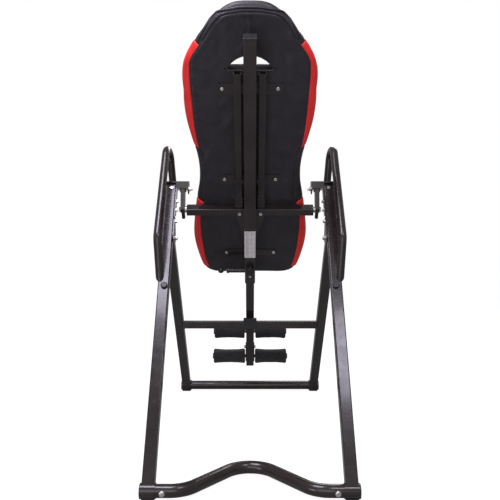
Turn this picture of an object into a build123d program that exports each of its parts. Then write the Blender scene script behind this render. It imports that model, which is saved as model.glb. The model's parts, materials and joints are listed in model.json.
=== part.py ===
from build123d import *

import os
from math import cos, radians, sin, tan

# Inversion table. Frame: +X to the right seen from behind, +Y towards the feet end, +Z up.
# The origin is on the floor, in the middle of the footprint. The pieces are drawn with Y = 0
# straight below the bed's pivot pins, and move to their place when they are written.
# All sizes are in millimetres.

# ---- A-frame -------------------------------------------------------------------------
leg = 40.0  # square tube of the legs
wall = 2.0  # wall of every steel tube
leg_x = 315.0  # centre of each leg from the symmetry plane
base_z = 26.0  # axis of both base tubes above the floor
rear_foot_y = -663.0
front_foot_y = 584.0
pivot_ahead = 42.0  # from the middle of the footprint to the pivot pins, along Y
rear_lean = 34.6  # degrees from vertical
front_lean = 41.4
leg_top_z = 1004.0
base_tube_r = 21.0
sleeve_r = 24.0
sleeve_inner_x = 291.0
sleeve_outer_x = 338.0
sleeve_cap = 3.0
wave_foot_x = 204.6  # corners of the rear base tube's bends, before they are rounded
wave_peak = 245.5
wave_bend_r = 98.0
pad_length = 40.0
pad_width = 36.0
pad_height = 14.0
base_bolt_x = 270.0
plate = 4.0  # thickness of brackets and hinge plates
bolt_r = 4.0
hinge_bolt_r = 5.0
fit = 0.05  # radial running clearance
hole_gap = 0.1  # radial clearance of a fixed bolt in its hole
hinge_offset = 45.0  # from the rear leg's centreline to the fold hinge
front_leg_width = 39.0
leg_overrun = 14.0  # front leg beyond its hinge bolt
crossbar_y = 245.0
crossbar_z = 388.0
crossbar_depth = 30.0
crossbar_height = 32.0
bumper_width = 58.0
rest_gap = 0.5  # between the shaft's rear face and the rest bumper
cap_plug = 12.0  # depth of every push-in cap inside its tube
washer_length = 30.0  # curved saddle washers of the rear base
washer_height = 22.0
washer_thickness = 2.0

# ---- fasteners -----------------------------------------------------------------------
nut_r = 7.5  # across the corners
nut_height = 6.5
head_height = 5.5
large_nut_r = 9.5
dome_r = 10.0
dome_height = 6.0
screw_r = 2.5
screw_head_r = 5.0
screw_head = 2.5

# ---- pivot ---------------------------------------------------------------------------
pivot_z = 978.0
pivot_pin_r = 5.0
bracket_inner_x = 245.0
bracket_wall = 5.0
bracket_back_y = -24.0
bracket_front_y = 84.0
arm_inner_x = 260.0
arm_width = 17.0
arm_wall = 3.0
arm_hub_r = 18.0
arm_tail_r = 17.0
arm_tail = (-54.0, -58.0)  # v, u
arm_bolt_spot = (-50.0, -64.0)
arm_bolt_r = 6.0
bush_r = 8.0
bush_flange_r = 12.0
bush_flange = 4.0
bracket_depth_z = 20.0  # reach of the inner wall below the pin
bracket_wall_front_y = 30.0
bracket_shelf_front_y = -8.0  # the top is open above the arm in front of this
web_height = 22.0
side_plate_end_z = 870.0
face_bolt_x = 312.0
face_bolt_z = 969.6

# ---- handrails -----------------------------------------------------------------------
rail_r = 15.0
rail_bend_r = 48.0
rail_top_x = 318.0
rail_top_y = 60.0
rail_splay = 0.096  # sideways drift of the rail per unit of length along Y
rail_lean = 0.054  # and per unit of height
rail_end_z = 989.0
rail_corners = ((-253.0, 620.0), (-257.0, 795.0), (40.0, 1213.0), (73.0, rail_end_z))  # Y, Z
rail_cap_x = 311.0
rail_cap_z = 609.0
rail_cap_r = 12.0
rail_cap_height = 9.0

# ---- bed, in its own directions: x across, v towards the user, u towards the head ---------
bed_tilt = 34.5  # degrees from vertical at rest
tube = 45.0  # main tube
tube_v = -87.0  # centre of the main tube and of the height shaft
main_wall = 2.5
tube_top_u = 648.0
tube_end_u = -268.0
scale_top_u = -130.0
scale_end_u = -265.0
scale_thickness = 0.4
shaft = 35.0
shaft_wall = 2.5
shaft_top_u = -60.0
shaft_end_u = -920.0
housing = 43.0  # lock housing below the main tube
housing_end_u = -406.0
tongue_length = 40.0
lock_u = -350.0
lock_pin_r = 4.0
hole_pitch = 25.0
knob_u = -322.0
knob_r = 17.0
housing_screw_u = (-348.0, -367.0)
cross_height = 30.0
cross_depth = 40.0
cross_u = -70.5
cross_end_x = 254.0
bed_rail_x = 44.0
bed_rail_width = 28.0
bed_rail_depth = 30.0
bed_rail_top_u = 506.0
collar_wall = 3.0
collar_spans = ((-42.0, -35.0), (-28.0, -21.0), (-14.0, -7.0), (61.0, 79.0))
strap_thickness = 3.0
strap_u = (440.0, 63.0, -301.0)
strap_length = (246.0, 236.0, 220.0)
strap_height = (40.0, 40.0, 30.0)
screw_x = 100.0
cover_thickness = 2.0
board_thickness = 15.0
foam_thickness = 40.0
soft_gap = 0.5  # between neighbouring upholstery pieces
strap_screw_length = 16.0
# Half outlines, x and u, from the bottom round to the top.
pad_outline = (
    (140, -411), (180, -403), (206, -361), (230, -220), (212, -49), (198, 60),
    (204, 160), (238, 307), (247, 420), (236, 537), (165, 646), (83, 729), (0, 738),
)
panel_outline = (
    (140, -405), (167, -392), (188, -335), (200, -228), (202, -135), (188, -58),
    (174, -22), (172, 80), (178, 165), (193, 205), (204, 286), (210, 413), (212, 503),
    (205, 550), (176, 594), (108, 686), (50, 706), (0, 709),
)
board_inset = 6.0
handle_half_width = 86.0
handle_u = 508.0
handle_top_u = 562.0
handle_taper = 14.0  # how much narrower the opening is through the foam
bolster_spans = ((-398.0, -45.0), (204.0, 596.0))
flank_spans = ((-42.0, 201.0), (599.0, 700.0))

# ---- ankle holder --------------------------------------------------------------------
ankle_u = -874.0
shin_v = 76.0
axle_r = 8.0
roller_r = 34.0
roller_length = 148.0
heel_roller_x = 23.0
shin_roller_x = 26.0
ankle_sleeve = 35.0
ankle_bar = 28.0
ankle_sleeve_end_v = 34.0
ankle_bar_back_v = -48.0
ankle_bar_end_v = 92.0
ankle_plate = 3.0
ankle_pin_r = 3.0
ankle_pitch = 10.0
clamp_bolt_u = -812.0

# ---- values that follow --------------------------------------------------------------
tube_front_v = tube_v + tube / 2
shaft_back_v = tube_v - shaft / 2
shaft_front_v = tube_v + shaft / 2
cross_v = tube_front_v + cross_depth / 2
cover_v = tube_front_v + cross_depth  # rear face of the backrest
board_v = cover_v + soft_gap + cover_thickness + soft_gap
foam_v = board_v + board_thickness + soft_gap
bed_rail_v = cover_v - strap_thickness - bed_rail_depth / 2
arm_outer_x = arm_inner_x + arm_width
leg_inner_x = leg_x - leg / 2
leg_outer_x = leg_x + leg / 2

# Where the leg centrelines cross, and the fold hinge on the front leg's line.
lean_tangents = tan(radians(rear_lean)) + tan(radians(front_lean))
crossing_z = base_z + (front_foot_y - rear_foot_y) / lean_tangents
crossing_y = rear_foot_y + (crossing_z - base_z) * tan(radians(rear_lean))
hinge_step = hinge_offset / sin(radians(rear_lean + front_lean))
hinge_y = crossing_y + hinge_step * sin(radians(front_lean))
hinge_z = crossing_z - hinge_step * cos(radians(front_lean))


def rear_leg_y(z):
    """Y of the rear leg's centreline at height z."""
    return rear_foot_y + (z - base_z) * tan(radians(rear_lean))


bracket_bolt_spots = [(rear_leg_y(z), z) for z in (928.0, 894.0)]
hinge_plate_spot = (rear_leg_y(850.0), 850.0)

# Planes of the bed. bed: sketch (x, v), normal u. bed_side: sketch (v, u), normal x.
# bed_back: sketch (x, u), normal -v, as seen from behind.
pivot = (0, 0, pivot_z)
up_v = (0, cos(radians(bed_tilt)), sin(radians(bed_tilt)))
up_u = (0, -sin(radians(bed_tilt)), cos(radians(bed_tilt)))
bed = Plane(origin=pivot, x_dir=(1, 0, 0), z_dir=up_u)
bed_side = Plane(origin=pivot, x_dir=up_v, z_dir=(1, 0, 0))
bed_back = Plane(origin=pivot, x_dir=(1, 0, 0), z_dir=(0, -up_v[1], -up_v[2]))

os.makedirs("parts", exist_ok=True)


def save(builder, name):
    """Move a finished piece to its place in the frame, label it and write its own file."""
    piece = Pos(0, pivot_ahead, 0) * builder.part
    piece.label = name
    export_step(piece, f"parts/{name}.step")


def bar(plane, start, end, spot, radius, mode=Mode.ADD):
    """Round bar or hole along a plane's normal, at a spot of its sketch coordinates."""
    with BuildSketch(plane.offset(start)) as profile:
        with Locations(spot):
            Circle(radius)
    extrude(profile.sketch, amount=end - start, mode=mode)


def hexagon(plane, start, end, spot, radius):
    """Hexagon head or nut along a plane's normal."""
    with BuildSketch(plane.offset(start)) as profile:
        with Locations(spot):
            RegularPolygon(radius=radius, side_count=6)
    extrude(profile.sketch, amount=end - start)


def square_tube_sketch(size, thickness, corner=3.0):
    """Ring section of a square tube, in the sketch that is open."""
    RectangleRounded(size, size, corner)
    RectangleRounded(size - 2 * thickness, size - 2 * thickness, corner / 2, mode=Mode.SUBTRACT)


def square_bar(plane, start, end, spot, width, height, corner, mode=Mode.ADD):
    """Rounded rectangular bar or pocket along a plane's normal."""
    with BuildSketch(plane.offset(start)) as profile:
        with Locations(spot):
            RectangleRounded(width, height, corner)
    extrude(profile.sketch, amount=end - start, mode=mode)


def round_tube(path, radius):
    """Round steel tube along a path, in the part that is open."""
    for section_r, mode in ((radius, Mode.ADD), (radius - wall, Mode.SUBTRACT)):
        with BuildSketch(Plane(origin=path @ 0, z_dir=path % 0)) as section:
            Circle(section_r)
        sweep(section.sketch, path=path, mode=mode)


def save_pair(builder, name):
    """Write a right-hand piece and its mirror image as two files."""
    save(builder, f"{name}_right")
    with BuildPart() as opposite:
        mirror(builder.part, about=Plane.YZ)
    save(opposite, f"{name}_left")


def bed_point(x, v, u):
    """A point of the bed in the common frame."""
    return (x, v * up_v[1] + u * up_u[1], pivot_z + v * up_v[2] + u * up_u[2])


# ======================================================================================
# Rear frame
# ======================================================================================

rear_leg_plane = Plane(
    origin=(0, rear_foot_y, base_z),
    x_dir=(1, 0, 0),
    z_dir=(0, sin(radians(rear_lean)), cos(radians(rear_lean))),
)
rear_leg_length = (leg_top_z - base_z) / cos(radians(rear_lean)) + leg

rear_base = (rear_foot_y, base_z)
pivot_spot = (0, pivot_z)
hinge_spot = (hinge_y, hinge_z)


def rear_face_plane(x, z):
    """Plane on the rear face of the right rear leg, normal pointing to the rear."""
    normal = (0, -cos(radians(rear_lean)), sin(radians(rear_lean)))
    return Plane(
        origin=(x, rear_leg_y(z) + normal[1] * leg / 2, z + normal[2] * leg / 2),
        x_dir=(1, 0, 0),
        z_dir=normal,
    )


side = Plane.YZ
centre = (0, 0)
face_bolt_plane = rear_face_plane(face_bolt_x, face_bolt_z)

# Each leg carries a welded sleeve that the base tube passes through.
with BuildPart() as rear_leg:
    with BuildSketch(rear_leg_plane):
        with Locations((leg_x, 0)):
            square_tube_sketch(leg, wall, 4.0)
    extrude(amount=rear_leg_length)
    split(bisect_by=Plane.XY.offset(leg_top_z), keep=Keep.BOTTOM)
    bar(side, sleeve_inner_x, sleeve_outer_x, rear_base, sleeve_r)
    bar(side, sleeve_inner_x, sleeve_outer_x, rear_base, base_tube_r + hole_gap, Mode.SUBTRACT)
    for spot in bracket_bolt_spots + [hinge_plate_spot]:
        bar(side, leg_inner_x - 1, leg_outer_x + 1, spot, bolt_r + hole_gap, Mode.SUBTRACT)
    bar(side, leg_inner_x - 1, leg_x, pivot_spot, pivot_pin_r + hole_gap, Mode.SUBTRACT)
    bar(face_bolt_plane, -leg / 4, 1, centre, bolt_r + hole_gap, Mode.SUBTRACT)
save_pair(rear_leg, "rear_leg")


def sleeve_caps(spot):
    """Push-in caps at both ends of a base tube, in the part that is open."""
    bar(side, sleeve_outer_x, sleeve_outer_x + sleeve_cap, spot, sleeve_r)
    fillet(edges().sort_by(Axis.X)[-1], sleeve_cap / 2)
    bar(side, sleeve_outer_x - cap_plug, sleeve_outer_x, spot, base_tube_r - wall - hole_gap)
    mirror(about=Plane.YZ)


def foot_pads(foot_y):
    """Flat rubber saddles under a pair of sleeves, in the part that is open."""
    square_bar(Plane.XY, 0, pad_height, (leg_x, foot_y), pad_length, pad_width, 4)
    bar(side, sleeve_inner_x, sleeve_outer_x, (foot_y, base_z), sleeve_r, Mode.SUBTRACT)
    mirror(about=Plane.YZ)


with BuildPart() as rear_sleeve_caps:
    sleeve_caps(rear_base)
save(rear_sleeve_caps, "rear_sleeve_caps")

with BuildPart() as rear_foot_pads:
    foot_pads(rear_foot_y)
save(rear_foot_pads, "rear_foot_pads")

base_bolt_plane = Plane(
    origin=(base_bolt_x, rear_foot_y, base_z), x_dir=(1, 0, 0), z_dir=(0, -1, 0)
)

with BuildPart() as rear_base_tube:
    with BuildLine(Plane.XY.offset(base_z)) as wave:
        FilletPolyline(
            (-sleeve_outer_x, rear_foot_y),
            (-wave_foot_x, rear_foot_y),
            (0, rear_foot_y + wave_peak),
            (wave_foot_x, rear_foot_y),
            (sleeve_outer_x, rear_foot_y),
            radius=wave_bend_r,
        )
    round_tube(wave.wire(), base_tube_r)
    for bolt_x in (-base_bolt_x, base_bolt_x):
        bolt_spot = (bolt_x - base_bolt_x, 0)
        bar(
            base_bolt_plane, -2 * base_tube_r, 2 * base_tube_r, bolt_spot, bolt_r + hole_gap,
            Mode.SUBTRACT,
        )
save(rear_base_tube, "rear_base_tube")

washer_start_x = base_bolt_x - washer_length / 2
washer_end_x = base_bolt_x + washer_length / 2
washer_outer_r = base_tube_r + washer_thickness

with BuildPart() as rear_base_washers:
    bar(side, washer_start_x, washer_end_x, rear_base, washer_outer_r)
    bar(side, washer_start_x, washer_end_x, rear_base, base_tube_r, Mode.SUBTRACT)
    square_bar(
        base_bolt_plane, 0, washer_outer_r, centre, washer_length, washer_height, 4,
        Mode.INTERSECT,
    )
    bar(base_bolt_plane, 0, 2 * base_tube_r, centre, bolt_r + hole_gap, Mode.SUBTRACT)
    mirror(about=Plane.YZ)
save(rear_base_washers, "rear_base_washers")

with BuildPart() as rear_base_bolts:
    bar(base_bolt_plane, washer_outer_r, washer_outer_r + dome_height, centre, dome_r)
    fillet(rear_base_bolts.edges().sort_by(Axis.Y)[0], dome_height - 1)
    bar(base_bolt_plane, -base_tube_r - nut_height - 2, washer_outer_r, centre, bolt_r)
    hexagon(base_bolt_plane, -base_tube_r - nut_height, -base_tube_r, centre, nut_r)
    mirror(about=Plane.YZ)
save(rear_base_bolts, "rear_base_bolts")

# The bracket closes the leg's top, drops a wall inboard of the pivot arm and reaches
# down the leg's inner face. A short web at the rear hides the arm's hub. The top is open
# in front of the hub, so the arm can swing up through it.
bracket_top_z = leg_top_z + bracket_wall
bracket_outer_x = leg_outer_x + 2.0
side_plate_x = leg_inner_x - plate

with BuildPart() as pivot_brackets:
    with BuildSketch(Plane.XY.offset(leg_top_z)):
        with BuildLine():
            Polyline(
                (bracket_inner_x, bracket_back_y),
                (bracket_outer_x, bracket_back_y),
                (bracket_outer_x, bracket_front_y),
                (side_plate_x, bracket_front_y),
                (side_plate_x, bracket_shelf_front_y),
                (bracket_inner_x + bracket_wall, bracket_shelf_front_y),
                (bracket_inner_x + bracket_wall, bracket_wall_front_y),
                (bracket_inner_x, bracket_wall_front_y),
                close=True,
            )
        make_face()
    extrude(amount=bracket_wall)
    with BuildSketch(side.offset(bracket_inner_x)):
        with BuildLine():
            Polyline(
                (bracket_back_y, leg_top_z),
                (bracket_back_y, pivot_z),
                (-bracket_back_y / 2, pivot_z - bracket_depth_z),
                (bracket_wall_front_y, pivot_z),
                (bracket_wall_front_y, leg_top_z),
                close=True,
            )
        make_face()
    extrude(amount=bracket_wall)
    with BuildSketch(Plane.XZ.offset(-bracket_back_y)):
        with Locations(((bracket_inner_x + leg_inner_x) / 2, leg_top_z - web_height / 2)):
            Rectangle(leg_inner_x - bracket_inner_x, web_height)
    extrude(amount=-plate)
    with BuildSketch(side.offset(side_plate_x)):
        with BuildLine():
            Polyline(
                (rear_leg_y(side_plate_end_z) - leg / 2, side_plate_end_z),
                (rear_leg_y(side_plate_end_z) + leg / 2, side_plate_end_z),
                (rear_leg_y(leg_top_z) + leg / 2, leg_top_z),
                (rear_leg_y(leg_top_z) - leg / 2, leg_top_z),
                close=True,
            )
        make_face()
    extrude(amount=plate)
    bar(
        side, bracket_inner_x - 1, leg_inner_x + 1, pivot_spot, pivot_pin_r + hole_gap,
        Mode.SUBTRACT,
    )
    for spot in bracket_bolt_spots:
        bar(side, side_plate_x - 1, leg_inner_x + 1, spot, bolt_r + hole_gap, Mode.SUBTRACT)
    mirror(about=Plane.YZ)
save(pivot_brackets, "pivot_brackets")

pin_nut_x = leg_inner_x + wall

with BuildPart() as pivot_pins:
    bar(side, bracket_inner_x - 15, pin_nut_x + nut_height + 1, pivot_spot, pivot_pin_r)
    hexagon(side, bracket_inner_x - nut_height, bracket_inner_x, pivot_spot, large_nut_r)
    hexagon(side, pin_nut_x, pin_nut_x + nut_height, pivot_spot, large_nut_r)
    mirror(about=Plane.YZ)
save(pivot_pins, "pivot_pins")

with BuildPart() as leg_bolts:
    for spot, outer_x in (
        (bracket_bolt_spots[0], leg_outer_x),
        (bracket_bolt_spots[1], leg_outer_x),
        (hinge_plate_spot, leg_outer_x + plate),
    ):
        bar(side, side_plate_x - nut_height - 2, outer_x, spot, bolt_r)
        hexagon(side, side_plate_x - nut_height, side_plate_x, spot, nut_r)
        hexagon(side, outer_x, outer_x + head_height, spot, nut_r)
    bar(face_bolt_plane, -leg / 4, 0, centre, bolt_r)
    hexagon(face_bolt_plane, 0, head_height, centre, nut_r)
    mirror(about=Plane.YZ)
save(leg_bolts, "leg_bolts")

with BuildPart() as hinge_plates:
    for plate_x in (side_plate_x, leg_outer_x):
        with BuildSketch(side.offset(plate_x)):
            with Locations(hinge_plate_spot, (rear_leg_y(790.0), 790.0), hinge_spot):
                Circle(leg / 2 - 2)
            make_hull()
        extrude(amount=plate)
    for spot, radius in ((hinge_plate_spot, bolt_r), (hinge_spot, hinge_bolt_r)):
        bar(
            side, side_plate_x - 1, leg_outer_x + plate + 1, spot, radius + hole_gap,
            Mode.SUBTRACT,
        )
    mirror(about=Plane.YZ)
save(hinge_plates, "hinge_plates")

hinge_head_x = leg_outer_x + plate

with BuildPart() as hinge_bolts:
    bar(side, side_plate_x - nut_height - 2, hinge_head_x, hinge_spot, hinge_bolt_r)
    hexagon(side, side_plate_x - nut_height, side_plate_x, hinge_spot, large_nut_r)
    hexagon(side, hinge_head_x, hinge_head_x + head_height, hinge_spot, large_nut_r)
    mirror(about=Plane.YZ)
save(hinge_bolts, "hinge_bolts")

# The handrail leaves the leg's rear face, runs up parallel to the leg and turns down
# onto the bracket. Its plane is splayed and leans outward a little.
rail_plane = Plane(
    origin=(rail_top_x, rail_top_y, rail_end_z),
    x_dir=(-rail_splay, 1, 0),
    z_dir=(1, rail_splay, -rail_lean),
)

with BuildPart() as handrail:
    with BuildLine(rail_plane) as rail_path:
        FilletPolyline(
            *[(y - rail_top_y, z - rail_end_z) for y, z in rail_corners], radius=rail_bend_r
        )
    round_tube(rail_path.wire(), rail_r)
    square_bar(
        rear_leg_plane, 0, rear_leg_length - 5 * leg, (leg_x, leg), 3 * leg, 3 * leg, 1,
        Mode.SUBTRACT,
    )
    square_bar(
        Plane.XY, bracket_top_z - leg, bracket_top_z, (leg_x, rail_top_y), 2 * leg, 2 * leg, 1,
        Mode.SUBTRACT,
    )
save_pair(handrail, "handrail")

with BuildPart() as handrail_caps:
    bar(rear_face_plane(rail_cap_x, rail_cap_z), 0, rail_cap_height, centre, rail_cap_r)
    fillet(handrail_caps.edges().sort_by(Axis.Y)[0], rail_cap_height / 3)
    mirror(about=Plane.YZ)
save(handrail_caps, "handrail_caps")

# ======================================================================================
# Front frame
# ======================================================================================

front_leg_plane = Plane(
    origin=(0, front_foot_y, base_z),
    x_dir=(1, 0, 0),
    z_dir=(0, -sin(radians(front_lean)), cos(radians(front_lean))),
)
front_leg_length = (hinge_z - base_z) / cos(radians(front_lean)) + leg_overrun
front_base = (front_foot_y, base_z)
front_leg_inner_x = leg_x - front_leg_width / 2
crossbar_spot = (crossbar_y, crossbar_z)

with BuildPart() as front_leg:
    with BuildSketch(front_leg_plane):
        with Locations((leg_x, 0)):
            RectangleRounded(front_leg_width, leg, 4)
            RectangleRounded(front_leg_width - 2 * wall, leg - 2 * wall, 2, mode=Mode.SUBTRACT)
    extrude(amount=front_leg_length)
    bar(side, sleeve_inner_x, sleeve_outer_x, front_base, sleeve_r)
    bar(side, sleeve_inner_x, sleeve_outer_x, front_base, base_tube_r + hole_gap, Mode.SUBTRACT)
    bar(side, leg_inner_x, leg_outer_x, hinge_spot, hinge_bolt_r + fit, Mode.SUBTRACT)
save_pair(front_leg, "front_leg")

with BuildPart() as front_sleeve_caps:
    sleeve_caps(front_base)
save(front_sleeve_caps, "front_sleeve_caps")

with BuildPart() as front_foot_pads:
    foot_pads(front_foot_y)
save(front_foot_pads, "front_foot_pads")

with BuildPart() as front_base_tube:
    bar(side, -sleeve_outer_x, sleeve_outer_x, front_base, base_tube_r)
    bar(side, -sleeve_outer_x, sleeve_outer_x, front_base, base_tube_r - wall, Mode.SUBTRACT)
save(front_base_tube, "front_base_tube")

with BuildPart() as front_crossbar:
    square_bar(
        side, -front_leg_inner_x, front_leg_inner_x, crossbar_spot,
        crossbar_depth, crossbar_height, 3,
    )
    square_bar(
        side, -front_leg_inner_x, front_leg_inner_x, crossbar_spot,
        crossbar_depth - 2 * wall, crossbar_height - 2 * wall, 1, Mode.SUBTRACT,
    )
save(front_crossbar, "front_crossbar")

# Rubber rest wrapped over the crossbar. Its sloping face stops the shaft at rest.
rest_plane = Plane(origin=bed_point(0, shaft_back_v - rest_gap, 0), z_dir=up_v)

with BuildPart() as rest_bumper:
    square_bar(
        side, -bumper_width / 2, bumper_width / 2, (crossbar_y + 2, crossbar_z + 4),
        crossbar_depth + 12, crossbar_height + 16, 4,
    )
    square_bar(
        side, -bumper_width / 2, bumper_width / 2, crossbar_spot,
        crossbar_depth, crossbar_height, 3, Mode.SUBTRACT,
    )
    split(bisect_by=rest_plane, keep=Keep.BOTTOM)
save(rest_bumper, "rest_bumper")

# ======================================================================================
# Bed frame
# ======================================================================================

tube_spot = (0, tube_v)
tube_inner = tube - 2 * main_wall
cross_top_u = cross_u + cross_height / 2
cross_end_u = cross_u - cross_height / 2
cross_spot = (cross_v, cross_u)
gusset_bolt_x = 42.0

with BuildPart() as main_tube:
    with BuildSketch(bed.offset(tube_end_u)):
        with Locations(tube_spot):
            square_tube_sketch(tube, main_wall)
    extrude(amount=tube_top_u - tube_end_u)
save(main_tube, "main_tube")

with BuildPart() as main_tube_cap:
    square_bar(bed, tube_top_u, tube_top_u + 5, tube_spot, tube + 3, tube + 3, 5)
    chamfer(faces().sort_by(Axis((0, 0, 0), up_u))[-1].edges(), 1.5)
    square_bar(
        bed, tube_top_u - cap_plug, tube_top_u, tube_spot,
        tube_inner - 2 * hole_gap, tube_inner - 2 * hole_gap, 2,
    )
save(main_tube_cap, "main_tube_cap")

# Printed foil on the rear and both sides of the main tube.
with BuildPart() as height_scale:
    with BuildSketch(bed.offset(scale_end_u)):
        with Locations(tube_spot):
            RectangleRounded(tube + 2 * scale_thickness, tube + 2 * scale_thickness, 3.4)
            RectangleRounded(tube, tube, 3, mode=Mode.SUBTRACT)
        with Locations((0, tube_front_v)):
            Rectangle(2 * tube, tube, mode=Mode.SUBTRACT)
    extrude(amount=scale_top_u - scale_end_u)
save(height_scale, "height_scale")

# Steel sleeve that guides the height shaft, with a tongue inside the main tube.
housing_inner = shaft + 0.5
housing_back = -(tube_v - housing / 2)  # along the bed_back normal
tongue = tube_inner - 2 * hole_gap
knob_boss = 3.5

with BuildPart() as lock_housing:
    square_bar(bed, housing_end_u, tube_end_u, tube_spot, housing, housing, 4)
    fillet(faces().sort_by(Axis((0, 0, 0), up_u))[0].edges(), 2)
    square_bar(bed, tube_end_u, tube_end_u + tongue_length, tube_spot, tongue, tongue, 2)
    bar(bed_back, housing_back, housing_back + knob_boss, (0, knob_u), 9)
    square_bar(
        bed, housing_end_u, tube_end_u + tongue_length, tube_spot,
        housing_inner, housing_inner, 1, Mode.SUBTRACT,
    )
    bar(
        bed_back, housing_back - 5, housing_back + 5, (0, knob_u), bolt_r + hole_gap,
        Mode.SUBTRACT,
    )
    bar(
        bed_side, -housing / 2 - 1, -shaft / 2, (tube_v, lock_u), lock_pin_r + fit,
        Mode.SUBTRACT,
    )
    for u in housing_screw_u:
        bar(bed_back, housing_back - 3, housing_back + 1, (0, u), screw_r, Mode.SUBTRACT)
save(lock_housing, "lock_housing")

with BuildPart() as housing_screws:
    for u in housing_screw_u:
        bar(bed_back, housing_back, housing_back + screw_head, (0, u), screw_head_r)
        bar(bed_back, housing_back - 2.5, housing_back, (0, u), screw_r - hole_gap)
save(housing_screws, "housing_screws")

with BuildPart() as cross_tube:
    square_bar(
        bed_side, -cross_end_x, cross_end_x, cross_spot, cross_depth, cross_height, 3
    )
    square_bar(
        bed_side, -cross_end_x + 18, cross_end_x - 18, cross_spot,
        cross_depth - 2 * wall, cross_height - 2 * wall, 1, Mode.SUBTRACT,
    )
    for end_x in (-cross_end_x, cross_end_x - 15):
        bar(bed_side, end_x, end_x + 15, arm_bolt_spot, arm_bolt_r + hole_gap, Mode.SUBTRACT)
    with BuildSketch(bed_back.offset(-tube_front_v - 2 * wall)):
        with Locations((-gusset_bolt_x, cross_u), (gusset_bolt_x, cross_u)):
            Circle(bolt_r + hole_gap)
    extrude(amount=3 * wall, mode=Mode.SUBTRACT)
save(cross_tube, "cross_tube")

gusset_thickness = 6.0

with BuildPart() as rail_gussets:
    with BuildSketch(bed_back.offset(-tube_front_v)):
        with BuildLine():
            Polyline(
                (tube / 2, cross_top_u - 2),
                (bed_rail_x + bed_rail_width / 2 - 2, cross_top_u - 2),
                (bed_rail_x + bed_rail_width / 2 - 2, cross_end_u),
                (tube / 2, cross_end_u - 110),
                close=True,
            )
        make_face()
        with Locations((gusset_bolt_x, cross_u)):
            Circle(bolt_r + hole_gap, mode=Mode.SUBTRACT)
    extrude(amount=gusset_thickness)
    mirror(about=Plane.YZ)
save(rail_gussets, "rail_gussets")

with BuildPart() as gusset_bolts:
    gusset_back = gusset_thickness - tube_front_v
    bolt_spot = (gusset_bolt_x, cross_u)
    bar(bed_back, gusset_back - 15, gusset_back, bolt_spot, bolt_r)
    hexagon(bed_back, gusset_back, gusset_back + head_height, bolt_spot, nut_r)
    mirror(about=Plane.YZ)
save(gusset_bolts, "gusset_bolts")

with BuildPart() as bed_rails:
    with BuildSketch(bed.offset(cross_top_u)):
        with Locations((bed_rail_x, bed_rail_v)):
            RectangleRounded(bed_rail_width, bed_rail_depth, 3)
            RectangleRounded(
                bed_rail_width - 2 * wall, bed_rail_depth - 2 * wall, 1.5, mode=Mode.SUBTRACT
            )
    extrude(amount=bed_rail_top_u - cross_top_u)
    mirror(about=Plane.YZ)
save(bed_rails, "bed_rails")

# Open collars welded round the rails: one at the middle strap, three near the cross tube.
with BuildPart() as rail_collars:
    collar_back_v = bed_rail_v - bed_rail_depth / 2 - collar_wall
    collar_depth = bed_rail_depth + collar_wall - 1
    collar_spot = (bed_rail_x, collar_back_v + collar_depth / 2)
    collar_width = bed_rail_width + 2 * collar_wall
    for start_u, end_u in collar_spans:
        square_bar(bed, start_u, end_u, collar_spot, collar_width, collar_depth, 2)
    square_bar(
        bed, collar_spans[0][0], collar_spans[-1][1], (bed_rail_x, bed_rail_v + 2),
        bed_rail_width, bed_rail_depth + 4, 3, Mode.SUBTRACT,
    )
    mirror(about=Plane.YZ)
save(rail_collars, "rail_collars")

with BuildPart() as back_straps:
    for u, length, height in zip(strap_u, strap_length, strap_height):
        with BuildSketch(bed_back.offset(-cover_v)):
            with Locations((0, u)):
                RectangleRounded(length, height, height / 3)
            with Locations((-screw_x, u), (screw_x, u)):
                Circle(screw_r + hole_gap, mode=Mode.SUBTRACT)
        extrude(amount=strap_thickness)
save(back_straps, "back_straps")

with BuildPart() as strap_screws:
    strap_back = strap_thickness - cover_v
    for u in strap_u:
        for x in (-screw_x, screw_x):
            bar(bed_back, strap_back, strap_back + 3, (x, u), 7)
            fillet(edges().filter_by(GeomType.CIRCLE).sort_by(Axis((0, 0, 0), up_v))[0], 2)
            bar(bed_back, strap_back - strap_screw_length, strap_back, (x, u), screw_r)
save(strap_screws, "strap_screws")

# ---- pivot arms ----------------------------------------------------------------------
with BuildPart() as pivot_arms:
    for inset, start_x, mode in (
        (0, arm_inner_x, Mode.ADD),
        (arm_wall, arm_inner_x + arm_wall, Mode.SUBTRACT),
    ):
        with BuildSketch(bed_side.offset(start_x)):
            Circle(arm_hub_r - inset)
            with Locations(arm_tail):
                Circle(arm_tail_r - inset)
            make_hull()
        extrude(amount=arm_width - 2 * inset, mode=mode)
    bar(bed_side, arm_inner_x, arm_outer_x, centre, bush_flange_r)
    bar(bed_side, arm_inner_x, arm_outer_x, arm_bolt_spot, arm_bolt_r + arm_wall)
    bar(bed_side, arm_inner_x, arm_outer_x, centre, bush_r, Mode.SUBTRACT)
    bar(
        bed_side, arm_inner_x, arm_outer_x, arm_bolt_spot, arm_bolt_r + hole_gap,
        Mode.SUBTRACT,
    )
    buffer_top_u = arm_tail[1] - arm_tail_r
    buffer_spot = (arm_inner_x + arm_width / 2, arm_tail[0])
    bar(bed, buffer_top_u - 1, buffer_top_u + 5, buffer_spot, bolt_r, Mode.SUBTRACT)
    mirror(about=Plane.YZ)
save(pivot_arms, "pivot_arms")

with BuildPart() as pivot_bushings:
    bar(bed_side, arm_inner_x - bush_flange, arm_inner_x, centre, bush_flange_r)
    bar(bed_side, arm_inner_x, arm_outer_x, centre, bush_r)
    bar(bed_side, arm_outer_x, arm_outer_x + bush_flange, centre, bush_flange_r)
    bar(
        bed_side, arm_inner_x - bush_flange, arm_outer_x + bush_flange, centre,
        pivot_pin_r + fit, Mode.SUBTRACT,
    )
    mirror(about=Plane.YZ)
save(pivot_bushings, "pivot_bushings")

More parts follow.
